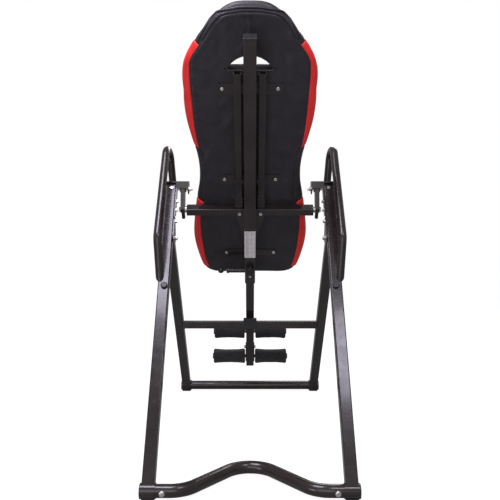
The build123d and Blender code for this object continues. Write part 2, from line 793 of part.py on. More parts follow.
with BuildPart() as arm_bolts:
    bar(bed_side, cross_end_x, arm_inner_x, arm_bolt_spot, 13)
    bar(
        bed_side, cross_end_x, arm_inner_x, arm_bolt_spot, arm_bolt_r + hole_gap,
        Mode.SUBTRACT,
    )
    bar(bed_side, cross_end_x - 14, arm_outer_x, arm_bolt_spot, arm_bolt_r)
    hexagon(bed_side, arm_outer_x, arm_outer_x + 7, arm_bolt_spot, 10)
    mirror(about=Plane.YZ)
save(arm_bolts, "arm_bolts")

with BuildPart() as arm_buffers:
    bar(bed, buffer_top_u - 29, buffer_top_u - hole_gap, buffer_spot, 7)
    fillet(faces().sort_by(Axis((0, 0, 0), up_u))[0].edges(), 2)
    bar(bed, buffer_top_u - hole_gap, buffer_top_u + 4, buffer_spot, bolt_r - hole_gap)
    mirror(about=Plane.YZ)
save(arm_buffers, "arm_buffers")

# ======================================================================================
# Backrest. Board and cover share the panel outline, foam fills the pad outline.
# ======================================================================================


def outline_face(points, mode=Mode.ADD, inset=0.0):
    """Face inside a closed outline given by its right half, in the sketch that is open."""
    top_u = points[-1][1]
    half = [(max(x - inset, 0), u * (1 - inset / top_u)) for x, u in points]
    left = [(-x, u) for x, u in reversed(half[:-1])]
    with BuildLine() as outline:
        Spline(*half, *left)
        Line(left[-1], half[0])
    make_face(outline.edges(), mode=mode)


def handle_hole(inset=0.0):
    """Half-moon opening behind the head, cut from the sketch that is open."""
    half_width = handle_half_width - inset
    low_u = handle_u + inset / 2
    with BuildLine() as opening:
        Line((-half_width, low_u), (half_width, low_u))
        ThreePointArc((half_width, low_u), (0, handle_top_u - inset / 2), (-half_width, low_u))
    make_face(opening.edges(), mode=Mode.SUBTRACT)


def side_skirt(start_u, end_u):
    """Right-hand ring between panel and pad outlines, in the part that is open."""
    with BuildSketch(bed_back.offset(-cover_v)) as ring:
        with Locations((leg_x / 2, (start_u + end_u) / 2)):
            Rectangle(leg_x, end_u - start_u)
        outline_face(pad_outline, Mode.INTERSECT)
        outline_face(panel_outline, Mode.SUBTRACT)
    extrude(ring.sketch, amount=-(foam_v - soft_gap - cover_v))


def strap_screw_holes():
    """Clearance for the strap screws, cut from the sketch that is open."""
    for u in strap_u:
        with Locations((-screw_x, u), (screw_x, u)):
            Circle(screw_r + hole_gap, mode=Mode.SUBTRACT)


with BuildPart() as rear_cover:
    with BuildSketch(bed_back.offset(-cover_v - soft_gap)):
        outline_face(panel_outline, inset=soft_gap)
        handle_hole()
        strap_screw_holes()
    extrude(amount=-cover_thickness)
save(rear_cover, "rear_cover")

with BuildPart() as backboard:
    with BuildSketch(bed_back.offset(-board_v)):
        outline_face(panel_outline, inset=board_inset)
        handle_hole()
        strap_screw_holes()
    extrude(amount=-board_thickness)
save(backboard, "backboard")

# The pad wraps round the board in black at the waist and at the head.
with BuildPart() as back_pad:
    for start_u, end_u in flank_spans:
        side_skirt(start_u, end_u)
    mirror(about=Plane.YZ)
    with BuildSketch(bed_back.offset(-foam_v + soft_gap)):
        outline_face(pad_outline)
        handle_hole(handle_taper)
    extrude(amount=-foam_thickness)
save(back_pad, "back_pad")

with BuildPart() as side_bolsters:
    for start_u, end_u in bolster_spans:
        side_skirt(start_u, end_u)
    mirror(about=Plane.YZ)
save(side_bolsters, "side_bolsters")

# ======================================================================================
# Height lock, tension knob and shaft
# ======================================================================================

pin_spot = (tube_v, lock_u)
barrel_r = 10.0
barrel_start_x = -88.0
barrel_end_x = -housing / 2
barrel_wall = 8.0
spring_cavity_r = 7.0
collar_r = 12.0
collar_length = 11.0
flange_x = -35.0
flange_length = 3.0
pin_tip_x = -12.0
neck_end_x = -116.0
ball_x = -123.0
ball_r = 12.5
wire_r = 0.9
spring_turns = 7

with BuildPart() as pin_barrel:
    bar(bed_side, barrel_start_x, barrel_end_x, pin_spot, barrel_r)
    bar(bed_side, barrel_start_x - collar_length, barrel_start_x, pin_spot, collar_r)
    bar(
        bed_side, barrel_start_x + barrel_wall, barrel_end_x - barrel_wall, pin_spot,
        spring_cavity_r, Mode.SUBTRACT,
    )
    bar(
        bed_side, barrel_start_x - collar_length, barrel_end_x, pin_spot, lock_pin_r + fit,
        Mode.SUBTRACT,
    )
save(pin_barrel, "pin_barrel")

with BuildPart() as lock_pin:
    bar(bed_side, neck_end_x, pin_tip_x, pin_spot, lock_pin_r)
    chamfer(faces().sort_by(Axis.X)[-1].edges(), 1)
    bar(bed_side, flange_x, flange_x + flange_length, pin_spot, spring_cavity_r - 0.2)
save(lock_pin, "lock_pin")

with BuildPart() as lock_pin_knob:
    with Locations(Location(bed_point(ball_x, tube_v, lock_u))):
        Sphere(ball_r)
    bar(
        bed_side, neck_end_x, ball_x + ball_r + 1, pin_spot, lock_pin_r + fit, Mode.SUBTRACT
    )
save(lock_pin_knob, "lock_pin_knob")

# The spring bears on the pin's flange and on the far end of the barrel's cavity.
spring_start_x = barrel_start_x + barrel_wall + wire_r
spring_end_x = flange_x - wire_r
spring_length = spring_end_x - spring_start_x

with BuildPart() as lock_pin_spring:
    with BuildLine() as coil:
        Helix(
            pitch=spring_length / spring_turns,
            height=spring_length,
            radius=5.6,
            center=bed_point(spring_start_x, tube_v, lock_u),
            direction=(1, 0, 0),
        )
    with BuildSketch(Plane(origin=coil.line @ 0, z_dir=coil.line % 0)):
        Circle(wire_r)
    sweep(is_frenet=True)
save(lock_pin_spring, "lock_pin_spring")

knob_back = housing_back + knob_boss
knob_gap = 2.0
knob_height = 18.0
grip_r = 3.5

with BuildPart() as tension_knob:
    bar(bed_back, knob_back + knob_gap, knob_back + knob_gap + knob_height, (0, knob_u), knob_r)
    with BuildSketch(bed_back.offset(knob_back + knob_gap)):
        with Locations((0, knob_u)):
            with PolarLocations(knob_r + 1.5, 7):
                Circle(grip_r)
    extrude(amount=knob_height, mode=Mode.SUBTRACT)
    fillet(faces().sort_by(Axis((0, 0, 0), up_v))[0].edges(), 1.5)
    bar(bed_back, -shaft_back_v + 0.2, knob_back + knob_gap, (0, knob_u), bolt_r)
save(tension_knob, "tension_knob")

hole_count = 7
first_hole_u = lock_u + 2 * hole_pitch
heel_spot = (tube_v, ankle_u)
clamp_spot = (tube_v, clamp_bolt_u)
shaft_cap = 4.0

with BuildPart() as inner_shaft:
    with BuildSketch(bed.offset(shaft_end_u)):
        with Locations(tube_spot):
            square_tube_sketch(shaft, shaft_wall, 2)
    extrude(amount=shaft_top_u - shaft_end_u)
    for hole in range(hole_count):
        lock_hole = (tube_v, first_hole_u - hole * hole_pitch)
        bar(bed_side, -shaft / 2 - 1, 0, lock_hole, lock_pin_r + 2 * hole_gap, Mode.SUBTRACT)
    for spot, radius in ((heel_spot, axle_r), (clamp_spot, bolt_r)):
        bar(bed_side, -shaft, shaft, spot, radius + hole_gap, Mode.SUBTRACT)
save(inner_shaft, "inner_shaft")

with BuildPart() as shaft_glide:
    square_bar(bed, shaft_top_u, shaft_top_u + 8, tube_spot, tongue, tongue, 2)
    square_bar(
        bed, shaft_top_u - cap_plug, shaft_top_u, tube_spot,
        shaft - 2 * shaft_wall - 2 * hole_gap, shaft - 2 * shaft_wall - 2 * hole_gap, 1,
    )
save(shaft_glide, "shaft_glide")

with BuildPart() as shaft_end_cap:
    square_bar(bed, shaft_end_u - shaft_cap, shaft_end_u, tube_spot, shaft, shaft, 2)
    square_bar(
        bed, shaft_end_u, shaft_end_u + cap_plug, tube_spot,
        shaft - 2 * shaft_wall - 2 * hole_gap, shaft - 2 * shaft_wall - 2 * hole_gap, 1,
    )
save(shaft_end_cap, "shaft_end_cap")

# ======================================================================================
# Ankle holder
# ======================================================================================

ankle_pin_v = 0.0
sleeve_top_u = ankle_u + ankle_sleeve / 2
sleeve_inner = ankle_bar + 0.2
ankle_barrel_top_u = -838.0
ankle_barrel_r = 8.0
ankle_along = Plane(origin=bed_point(0, 0, ankle_u), x_dir=(1, 0, 0), z_dir=up_v)
ankle_up = (0, ankle_pin_v)  # x and v of the pull pin, on the bed plane

# Two side plates bolted on the shaft, with a square sleeve welded between them and the
# barrel of the pull pin on top of it.
with BuildPart() as ankle_bracket:
    with BuildSketch(bed_side.offset(shaft / 2)):
        with BuildLine():
            Polyline(
                (shaft_back_v - 2, clamp_bolt_u + 12),
                (shaft_front_v, clamp_bolt_u + 12),
                (-30, ankle_u + ankle_sleeve / 2),
                (-30, ankle_u - ankle_sleeve / 2),
                (shaft_back_v - 2, ankle_u - ankle_sleeve / 2),
                close=True,
            )
        make_face()
    extrude(amount=ankle_plate)
    for spot, radius in ((heel_spot, axle_r), (clamp_spot, bolt_r)):
        bar(bed_side, shaft / 2, shaft, spot, radius + hole_gap, Mode.SUBTRACT)
    mirror(about=Plane.YZ)
    square_bar(
        ankle_along, shaft_front_v, ankle_sleeve_end_v, centre, ankle_sleeve, ankle_sleeve, 3
    )
    bar(bed, sleeve_top_u - 1, ankle_barrel_top_u, ankle_up, ankle_barrel_r)
    square_bar(
        ankle_along, shaft_front_v, ankle_sleeve_end_v, centre, sleeve_inner, sleeve_inner, 1,
        Mode.SUBTRACT,
    )
    bar(bed, ankle_u, ankle_barrel_top_u, ankle_up, ankle_pin_r + fit, Mode.SUBTRACT)
save(ankle_bracket, "ankle_bracket")

with BuildPart() as ankle_bracket_bolt:
    plate_x = shaft / 2 + ankle_plate
    bar(bed_side, -plate_x - nut_height - 1, plate_x, clamp_spot, bolt_r)
    hexagon(bed_side, plate_x, plate_x + head_height, clamp_spot, nut_r)
    hexagon(bed_side, -plate_x - nut_height, -plate_x, clamp_spot, nut_r)
save(ankle_bracket_bolt, "ankle_bracket_bolt")

axle_head_r = 13.0
axle_head = 4.0
axle_gap = 0.5
heel_axle_end_x = heel_roller_x + roller_length + axle_gap
shin_axle_end_x = shin_roller_x + roller_length + axle_gap
shin_spot = (shin_v, ankle_u)


def roller_axle(end_x, spot):
    """Axle with a retaining cap at both ends, in the part that is open."""
    bar(bed_side, -end_x, end_x, spot, axle_r)
    for start_x in (-end_x - axle_head, end_x):
        bar(bed_side, start_x, start_x + axle_head, spot, axle_head_r)


with BuildPart() as heel_axle:
    roller_axle(heel_axle_end_x, heel_spot)
save(heel_axle, "heel_axle")

with BuildPart() as shin_axle:
    roller_axle(shin_axle_end_x, shin_spot)
save(shin_axle, "shin_axle")

with BuildPart() as ankle_slide_bar:
    square_bar(
        ankle_along, ankle_bar_back_v, ankle_bar_end_v, centre, ankle_bar, ankle_bar, 3
    )
    square_bar(
        ankle_along, ankle_bar_back_v, ankle_bar_end_v - wall, centre,
        ankle_bar - 2 * wall, ankle_bar - 2 * wall, 1, Mode.SUBTRACT,
    )
    bar(bed_side, -ankle_bar, ankle_bar, shin_spot, axle_r + hole_gap, Mode.SUBTRACT)
    for step in range(-4, 3):
        pin_hole = (0, step * ankle_pitch)
        bar(bed, ankle_u, ankle_u + ankle_bar, pin_hole, ankle_pin_r + 0.2, Mode.SUBTRACT)
save(ankle_slide_bar, "ankle_bar")

ankle_pin_tip_u = -863.5
ankle_knob_u = -834.0
ankle_knob_height = 16.0
ankle_knob_r = 11.0

with BuildPart() as ankle_pull_pin:
    bar(bed, ankle_knob_u, ankle_knob_u + ankle_knob_height, ankle_up, ankle_knob_r)
    fillet(edges().filter_by(GeomType.CIRCLE), 2)
    bar(bed, ankle_pin_tip_u, ankle_knob_u, ankle_up, ankle_pin_r)
save(ankle_pull_pin, "ankle_pull_pin")


def foam_roller(start_x, spot):
    """Foam roller on its bore, in the part that is open."""
    bar(bed_side, start_x, start_x + roller_length, spot, roller_r)
    fillet(edges().filter_by(GeomType.CIRCLE), 6)
    bar(bed_side, start_x, start_x + roller_length, spot, axle_r + fit, Mode.SUBTRACT)


with BuildPart() as heel_roller:
    foam_roller(heel_roller_x, heel_spot)
save_pair(heel_roller, "heel_roller")

with BuildPart() as shin_roller:
    foam_roller(shin_roller_x, shin_spot)
save_pair(shin_roller, "shin_roller")
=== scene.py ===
import json
from math import cos, pi, radians, sin

import bpy
import numpy as np
from mathutils import Matrix, Vector, noise


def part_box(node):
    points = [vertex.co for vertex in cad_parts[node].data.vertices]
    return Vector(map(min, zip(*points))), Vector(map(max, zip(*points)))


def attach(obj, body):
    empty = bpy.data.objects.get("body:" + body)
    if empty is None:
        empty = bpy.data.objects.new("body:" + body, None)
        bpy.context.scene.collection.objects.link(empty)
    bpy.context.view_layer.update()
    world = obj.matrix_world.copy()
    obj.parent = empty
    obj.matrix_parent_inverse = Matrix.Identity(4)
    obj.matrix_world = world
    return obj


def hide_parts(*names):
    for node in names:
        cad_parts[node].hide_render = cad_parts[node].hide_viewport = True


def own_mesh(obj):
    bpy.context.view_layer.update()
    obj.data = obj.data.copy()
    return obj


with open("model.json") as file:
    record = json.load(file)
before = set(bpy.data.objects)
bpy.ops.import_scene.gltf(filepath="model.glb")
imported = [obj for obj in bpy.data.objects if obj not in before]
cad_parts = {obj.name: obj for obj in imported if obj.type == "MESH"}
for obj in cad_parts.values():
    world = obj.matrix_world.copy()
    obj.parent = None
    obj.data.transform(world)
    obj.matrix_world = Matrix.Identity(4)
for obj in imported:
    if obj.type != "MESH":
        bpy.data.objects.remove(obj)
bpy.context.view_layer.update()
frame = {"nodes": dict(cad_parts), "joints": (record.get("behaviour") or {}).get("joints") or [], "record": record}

MM = 0.001
TINY = 1e-9  # stands in for zero where a value is divided by
WELD_DISTANCE = 0.01 * MM
AROUND = 360  # points round every outline
nodes = frame["nodes"]
joints = {joint["name"]: joint for joint in frame["joints"]}

# The bed's own directions, from its joints: x across, v towards the user, u to the head.
PIVOT = Vector(joints["inversion"]["pos_m"])
BED_U = -Vector(joints["height_adjust"]["axis"])
BED_V = Vector(joints["ankle_adjust"]["axis"])
BED_X = Vector((1, 0, 0))


def bed_point(x, v, u):
    """A point of the bed, given in millimetres, in the common frame."""
    return PIVOT + (BED_X * x + BED_V * v + BED_U * u) * MM


def node_range(node, direction):
    """Lowest and highest place of a CAD node along one of the bed's directions, in mm."""
    values = [(v.co - PIVOT).dot(direction) / MM for v in nodes[node].data.vertices]
    return min(values), max(values)


# ---------------------------------------------------------------------------------------
# Materials
# ---------------------------------------------------------------------------------------


class Shader:
    """Small helper that builds one node material."""

    def __init__(self, name):
        self.material = bpy.data.materials.new(name)
        self.material.use_nodes = True
        self.tree = self.material.node_tree
        self.surface = self.tree.nodes["Principled BSDF"]
        self.place = self.node("ShaderNodeTexCoord").outputs["Object"]

    def node(self, kind, **settings):
        made = self.tree.nodes.new(kind)
        for key, value in settings.items():
            setattr(made, key, value)
        return made

    def link(self, source, target):
        self.tree.links.new(source, target)

    def set(self, **values):
        for key, value in values.items():
            self.surface.inputs[key.replace("_", " ")].default_value = value

    def noise(self, scale, detail=3.0, rough=0.5, stretch=None):
        made = self.node("ShaderNodeTexNoise")
        made.inputs["Scale"].default_value = scale
        made.inputs["Detail"].default_value = detail
        made.inputs["Roughness"].default_value = rough
        place = self.place
        if stretch:
            mapping = self.node("ShaderNodeMapping")
            mapping.inputs["Scale"].default_value = stretch
            self.link(place, mapping.inputs["Vector"])
            place = mapping.outputs["Vector"]
        self.link(place, made.inputs["Vector"])
        return made.outputs["Fac"]

    def cells(self, scale, feature="F1"):
        made = self.node("ShaderNodeTexVoronoi", feature=feature)
        made.inputs["Scale"].default_value = scale
        self.link(self.place, made.inputs["Vector"])
        return made.outputs["Distance"]

    def ramp(self, value, low, high, start=0.35, end=0.65):
        """Maps a value between start and end onto low to high."""
        made = self.node("ShaderNodeMapRange")
        made.inputs["From Min"].default_value = start
        made.inputs["From Max"].default_value = end
        made.inputs["To Min"].default_value = low
        made.inputs["To Max"].default_value = high
        self.link(value, made.inputs["Value"])
        return made.outputs["Result"]

    def colour(self, value, first, second, start=0.35, end=0.65):
        made = self.node("ShaderNodeMix", data_type="RGBA")
        self.link(self.ramp(value, 0, 1, start, end), made.inputs["Factor"])
        made.inputs["A"].default_value = (*first, 1)
        made.inputs["B"].default_value = (*second, 1)
        return made.outputs["Result"]

    def colour_over(self, value, base, second, start=0.35, end=0.65):
        """Like colour, with a socket as the first colour."""
        made = self.node("ShaderNodeMix", data_type="RGBA")
        self.link(self.ramp(value, 0, 1, start, end), made.inputs["Factor"])
        self.link(base, made.inputs["A"])
        made.inputs["B"].default_value = (*second, 1)
        return made.outputs["Result"]

    def bump(self, value, strength, distance=MM, under=None):
        made = self.node("ShaderNodeBump")
        made.inputs["Strength"].default_value = strength
        made.inputs["Distance"].default_value = distance
        self.link(value, made.inputs["Height"])
        if under is not None:
            self.link(under, made.inputs["Normal"])
        return made.outputs["Normal"]

    def finish(self, colour=None, roughness=None, normal=None):
        for socket, name in ((colour, "Base Color"), (roughness, "Roughness"), (normal, "Normal")):
            if socket is not None:
                self.link(socket, self.surface.inputs[name])
        return self.material


def edge_wear(shader, radius, start, end):
    """Factor that rises on convex edges, from the difference of a bevelled normal."""
    bevel = shader.node("ShaderNodeBevel", samples=4)
    bevel.inputs["Radius"].default_value = radius
    flat = shader.node("ShaderNodeNewGeometry").outputs["Normal"]
    dot = shader.node("ShaderNodeVectorMath", operation="DOT_PRODUCT")
    shader.link(bevel.outputs["Normal"], dot.inputs[0])
    shader.link(flat, dot.inputs[1])
    return shader.ramp(dot.outputs["Value"], 1, 0, start, end)


def powder_coat(name, dark, light, roughness):
    """Gloss black paint: orange peel, faint dust and edges rubbed slightly lighter."""
    shader = Shader(name)
    shader.set(Specular_IOR_Level=0.4, Coat_Weight=0.3, Coat_Roughness=0.1)
    base = shader.colour(shader.noise(9, 4), dark, light)
    base = shader.colour_over(edge_wear(shader, 1.2 * MM, 0.8, 1.0), base, (0.11, 0.1, 0.1), 0, 2)
    peel = shader.bump(shader.noise(700, 2), 0.03, 0.15 * MM)
    peel = shader.bump(shader.noise(50, 2), 0.04, 0.6 * MM, peel)
    rough = shader.ramp(shader.noise(35, 5, 0.6), roughness - 0.03, roughness + 0.05)
    return shader.finish(base, rough, peel)


def zinc(name):
    """Bright zinc plating with a faint blue and yellow cast."""
    shader = Shader(name)
    shader.set(Metallic=1.0)
    base = shader.colour(shader.noise(160, 4), (0.5, 0.51, 0.54), (0.72, 0.7, 0.64))
    grain = shader.bump(shader.noise(700, 3, 0.7, (1, 6, 1)), 0.2, 0.1 * MM)
    return shader.finish(base, shader.ramp(shader.noise(260, 4), 0.22, 0.42), grain)


def vinyl(name, dark, light, roughness, sheen):
    """Upholstery vinyl: pebbled grain over fine pores, shine that varies with handling."""
    shader = Shader(name)
    shader.set(Specular_IOR_Level=0.45, Sheen_Weight=sheen, Sheen_Roughness=0.4)
    base = shader.colour(shader.noise(14, 5, 0.6), dark, light)
    pebble = shader.cells(620)
    base = shader.colour_over(shader.ramp(pebble, 0, 0.35, 0.0, 0.8), base, dark, 0, 1)
    pores = shader.bump(shader.noise(2400, 2), 0.1, 0.1 * MM)
    grain = shader.bump(pebble, 0.35, 0.25 * MM, pores)
    soft = shader.bump(shader.noise(22, 3), 0.25, 2.0 * MM, grain)
    rough = shader.ramp(shader.noise(30, 4), roughness - 0.07, roughness + 0.08)
    return shader.finish(base, rough, soft)


def foam(name):
    """Closed-cell foam: matte, open pores with painted shade in their pits, and dusty highlights."""
    shader = Shader(name)
    shader.set(Specular_IOR_Level=0.25, Sheen_Weight=0.15, Sheen_Roughness=0.7)
    base = shader.colour(shader.noise(70, 5, 0.7), (0.008, 0.008, 0.009), (0.022, 0.02, 0.022))
    pores = shader.cells(900)
    # painted shade: the colour goes near black at the pores' centres, which are the pits that the bump below sinks
    base = shader.colour_over(shader.ramp(pores, 1, 0, 0.1, 0.4), base, (0.003, 0.003, 0.003), 0, 1)
    bump = shader.bump(pores, 0.6, 0.5 * MM)
    bump = shader.bump(shader.noise(45, 4), 0.35, 2.0 * MM, bump)
    return shader.finish(base, shader.ramp(shader.noise(50), 0.75, 0.95), bump)


def moulded(name, dark, light, roughness, grain_scale):
    """Moulded plastic or rubber with spark-eroded grain."""
    shader = Shader(name)
    base = shader.colour(shader.noise(40, 4), dark, light)
    grain = shader.bump(shader.noise(grain_scale, 3, 0.6), 0.3, 0.15 * MM)
    rough = shader.ramp(shader.noise(120, 4), roughness - 0.07, roughness + 0.07)
    return shader.finish(base, rough, grain)


def plywood(name):
    """Birch plywood, seen only at the board's edges."""
    shader = Shader(name)
    grain = shader.noise(30, 6, 0.6, (1, 12, 1))
    base = shader.colour(grain, (0.45, 0.3, 0.17), (0.66, 0.5, 0.32))
    return shader.finish(base, shader.ramp(grain, 0.5, 0.7), shader.bump(grain, 0.2, 0.3 * MM))


def foil(name):
    """Pale printed foil, slightly scuffed."""
    shader = Shader(name)
    base = shader.colour(shader.noise(50, 5, 0.7), (0.56, 0.53, 0.53), (0.68, 0.65, 0.65))
    scuffs = shader.noise(220, 4, 0.7, (1, 1, 0.15))
    base = shader.colour_over(scuffs, base, (0.38, 0.33, 0.33), 0.62, 0.8)
    return shader.finish(base, shader.ramp(scuffs, 0.35, 0.5), shader.bump(scuffs, 0.1, 0.1 * MM))


BLACK_PAINT = powder_coat("gloss_black_paint", (0.018, 0.0125, 0.012), (0.028, 0.02, 0.019), 0.24)
ZINC = zinc("zinc_plating")
BLACK_VINYL = vinyl("black_vinyl", (0.017, 0.0145, 0.019), (0.028, 0.024, 0.031), 0.46, 0.12)
PANEL_VINYL = vinyl("panel_vinyl", (0.014, 0.0115, 0.0145), (0.024, 0.02, 0.026), 0.4, 0.1)
RED_VINYL = vinyl("red_vinyl", (0.78, 0.018, 0.016), (0.92, 0.03, 0.026), 0.4, 0.06)
FOAM = foam("black_foam")
RUBBER = moulded("black_rubber", (0.008, 0.008, 0.008), (0.018, 0.017, 0.017), 0.75, 500)
PLASTIC = moulded("black_plastic", (0.008, 0.0075, 0.008), (0.016, 0.015, 0.016), 0.42, 1100)
NYLON = moulded("black_nylon", (0.02, 0.02, 0.02), (0.035, 0.034, 0.034), 0.5, 900)
SPRING = moulded("oiled_spring_steel", (0.012, 0.011, 0.011), (0.03, 0.028, 0.027), 0.6, 900)
PLYWOOD = plywood("plywood")
FOIL = foil("scale_foil")
INK = moulded("scale_ink", (0.05, 0.04, 0.045), (0.09, 0.07, 0.075), 0.6, 700)
THREAD = moulded("black_thread", (0.03, 0.028, 0.032), (0.06, 0.055, 0.06), 0.7, 3000)

SLOT_MATERIALS = {
    "black_gloss_steel": BLACK_PAINT,
    "black_plastic": PLASTIC,
    "zinc_steel": ZINC,
    "shaft_steel": BLACK_PAINT,
    "rubber": RUBBER,
    "foam": FOAM,
    "axle_steel": BLACK_PAINT,
    "nylon": NYLON,
    "black_vinyl": BLACK_VINYL,
    "pad_foam": BLACK_VINYL,
    "red_vinyl": RED_VINYL,
    "board": PLYWOOD,
    "scale_foil": FOIL,
}

for part in frame["record"]["subparts"]:
    mesh = nodes[part["node"]].data
    mesh.materials.clear()
    mesh.materials.append(SLOT_MATERIALS[part["material_slot"]])


# ---------------------------------------------------------------------------------------
# Mesh helpers
# ---------------------------------------------------------------------------------------


def new_piece(name, points, faces, material, body):
    """Mesh piece in the common frame, riding on a body."""
    mesh = bpy.data.meshes.new(name)
    mesh.from_pydata([tuple(p) for p in points], [], faces)
    mesh.validate()
    mesh.materials.append(material)
    piece = bpy.data.objects.new(name, mesh)
    bpy.context.scene.collection.objects.link(piece)
    shade_smooth(piece)
    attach(piece, body)
    return piece


def shade_smooth(piece):
    for polygon in piece.data.polygons:
        polygon.use_smooth = True


def modify(piece, kind, **settings):
    """Adds a modifier and applies it."""
    modifier = piece.modifiers.new(kind.lower(), kind)
    for key, value in settings.items():
        setattr(modifier, key, value)
    graph = bpy.context.evaluated_depsgraph_get()
    mesh = bpy.data.meshes.new_from_object(piece.evaluated_get(graph))
    piece.modifiers.clear()
    piece.data = mesh


def ring_faces(rows, columns, closed_rows=False, flip=False):
    """Quads of a grid whose columns close on themselves."""
    faces = []
    for row in range(rows if closed_rows else rows - 1):
        below = row * columns
        above = ((row + 1) % rows) * columns
        for column in range(columns):
            after = (column + 1) % columns
            quad = (below + column, below + after, above + after, above + column)
            faces.append(quad[::-1] if flip else quad)
    return faces


def middle_faces(row, rearward):
    """Strips from the right half to the left half of an outline's row, closing its middle."""
    base = row * AROUND
    faces = []
    for step in range(AROUND // 2):
        right = (base + step, base + step + 1)
        left = (base + AROUND - step - 1, base + (AROUND - step) % AROUND)
        strip = tuple(dict.fromkeys(right + left))
        faces.append(strip if rearward else strip[::-1])
    return faces


def smooth_curve(points, samples):
    """Evenly spaced points on a Catmull-Rom curve that crosses the middle at its end."""
    span_steps = 24
    dense = []
    across_top = (-points[-2][0], points[-2][1])
    ends = [points[0]] + list(points) + [across_top]
    for index in range(1, len(ends) - 2):
        p0, p1, p2, p3 = (np.array(p, float) for p in ends[index - 1 : index + 3])
        for step in range(span_steps):
            t = step / span_steps
            dense.append(
                0.5 * (2 * p1 + (p2 - p0) * t + (2 * p0 - 5 * p1 + 4 * p2 - p3) * t**2)
                + 0.5 * (3 * p1 - p0 - 3 * p2 + p3) * t**3
            )
    dense.append(np.array(points[-1], float))
    dense = np.array(dense)
    length = np.concatenate([[0], np.cumsum(np.hypot(*np.diff(dense, axis=0).T))])
    places = np.linspace(0, length[-1], samples)
    return np.column_stack([np.interp(places, length, dense[:, k]) for k in range(2)])


def closed_outline(half, samples):
    """Closed outline from its right half, bottom round to the top, mirrored to the left."""
    bottom = [(0, half[0][1]), (half[0][0] / 2, half[0][1])]
    right = smooth_curve(bottom + list(half), samples // 2 + 1)
    left = [(-x, u) for x, u in right[-2:0:-1]]
    return np.vstack([right, left])


def loop_hit(start, end, loop):
    """Where the segment from start to end first crosses a closed loop."""
    best = 1.0
    direction = end - start
    following = np.roll(loop, -1, axis=0)
    edge = following - loop
    offset = loop - start
    cross = direction[0] * edge[:, 1] - direction[1] * edge[:, 0]
    cross[np.abs(cross) < TINY] = TINY
    along = (offset[:, 0] * edge[:, 1] - offset[:, 1] * edge[:, 0]) / cross
    across = (offset[:, 0] * direction[1] - offset[:, 1] * direction[0]) / cross
    valid = (along >= 0) & (along <= 1) & (across >= 0) & (across <= 1)
    if valid.any():
        best = along[valid].min()
    return start + direction * best


# ---------------------------------------------------------------------------------------
# Backrest
# ---------------------------------------------------------------------------------------

# Half outlines, x and u, from the bottom round to the top. The pad's is the one that it has
# before it is inflated.
PAD_OUTLINE = (
    (142, -411), (183, -403), (209, -361), (234, -220), (216, -49), (199, 60),
    (203, 160), (235, 307), (243, 420), (232, 537), (163, 646), (81, 725), (0, 740),
)
PANEL_OUTLINE = (
    (140, -405), (167, -392), (188, -335), (200, -228), (202, -135), (188, -58),
    (174, -22), (172, 80), (178, 165), (193, 205), (204, 286), (210, 413), (212, 503),
    (205, 550), (176, 594), (108, 686), (50, 706), (0, 709),
)
HANDLE = {"half_width": 86.0, "low": 508.0, "high": 562.0}
SPINE = (-300.0, 600.0)  # ends of the middle line that the outlines shrink to
OPEN_STEP = 0.6  # share of a step left open at the middle line, where strips close it
STRAP_PLACES = (440.0, 63.0, -301.0)  # u of the straps, which hold the panel flat
# u of the channels sewn across the user's side
CHANNELS = (-330.0, -250.0, -170.0, -90.0, -10.0, 70.0, 150.0, 230.0, 310.0, 390.0, 460.0)
SWELL = {"front": 9.0, "side": 3.5}  # most that the cushion grows from its first shape
SEAM_DEPTH = {"edge": 2.6, "channel": 3.2, "colour": 1.8}  # how far each kind of seam sinks
PIPING_RADIUS = {"panel": 2.4, "front": 2.8}
SKIN = {"wing": 1.4, "panel": 1.2}  # thickness of the vinyl
WING_INLAY = 2.2  # how far the black cushion gives way under the red wings
CLOTH = {
    "quality": 4,
    "mass": 0.3,
    "tension_stiffness": 12,
    "compression_stiffness": 12,
    "shear_stiffness": 6,
    "bending_stiffness": 0.4,
    "use_pressure": True,
    "uniform_pressure_force": 4.0,
    "vertex_group_mass": "seams",
}
CLOTH_FRAMES = 20

# Seams that cross the wrap, as places along u: red lies between the two of each pair, black
# outside them. Each seam shifts along u by its slant on its way in to the panel.
RED_SPANS = ((-392.0, -37.0), (205.0, 606.0))
SLANT = {-37.0: -19.0, 205.0: -9.0, 606.0: -18.0, -392.0: 0.0}
SLANT_REACH = 40  # how far along u a seam's slant is felt

board_front = node_range("backboard", BED_V)[1]
pad_front = node_range("back_pad", BED_V)[1]
cover_back, cover_front = node_range("rear_cover", BED_V)

# Levels of the cushion's first shape: where it is widest, its seam with the panel, its
# hidden tuck in front of the board, and its face on the user's side.
widest_v = 2.0
seam_v = cover_front + 1.5
hidden_v = board_front + 0.6
face_v = pad_front - 5.0


def middle_line(loop):
    """For each point of an outline, the point of the middle line that it shrinks to."""
    return np.array([(0, min(max(u, SPINE[0]), SPINE[1])) for _, u in loop])


pad_loop = closed_outline(PAD_OUTLINE, AROUND)
panel_loop = closed_outline(PANEL_OUTLINE, AROUND)
spine = middle_line(pad_loop)
panel_edge = np.array([loop_hit(p, c, panel_loop) for p, c in zip(pad_loop, spine)])


def is_red(u):
    return any(low < u < high for low, high in RED_SPANS)


def slant(u, share):
    """Shift along u that tilts the colour seams; share is how much of it applies."""
    return share * sum(
        shift * np.exp(-(((u - place) / SLANT_REACH) ** 2)) for place, shift in SLANT.items()
    )


def ease(value):
    value = min(max(value, 0.0), 1.0)
    return value * value * (3 - 2 * value)


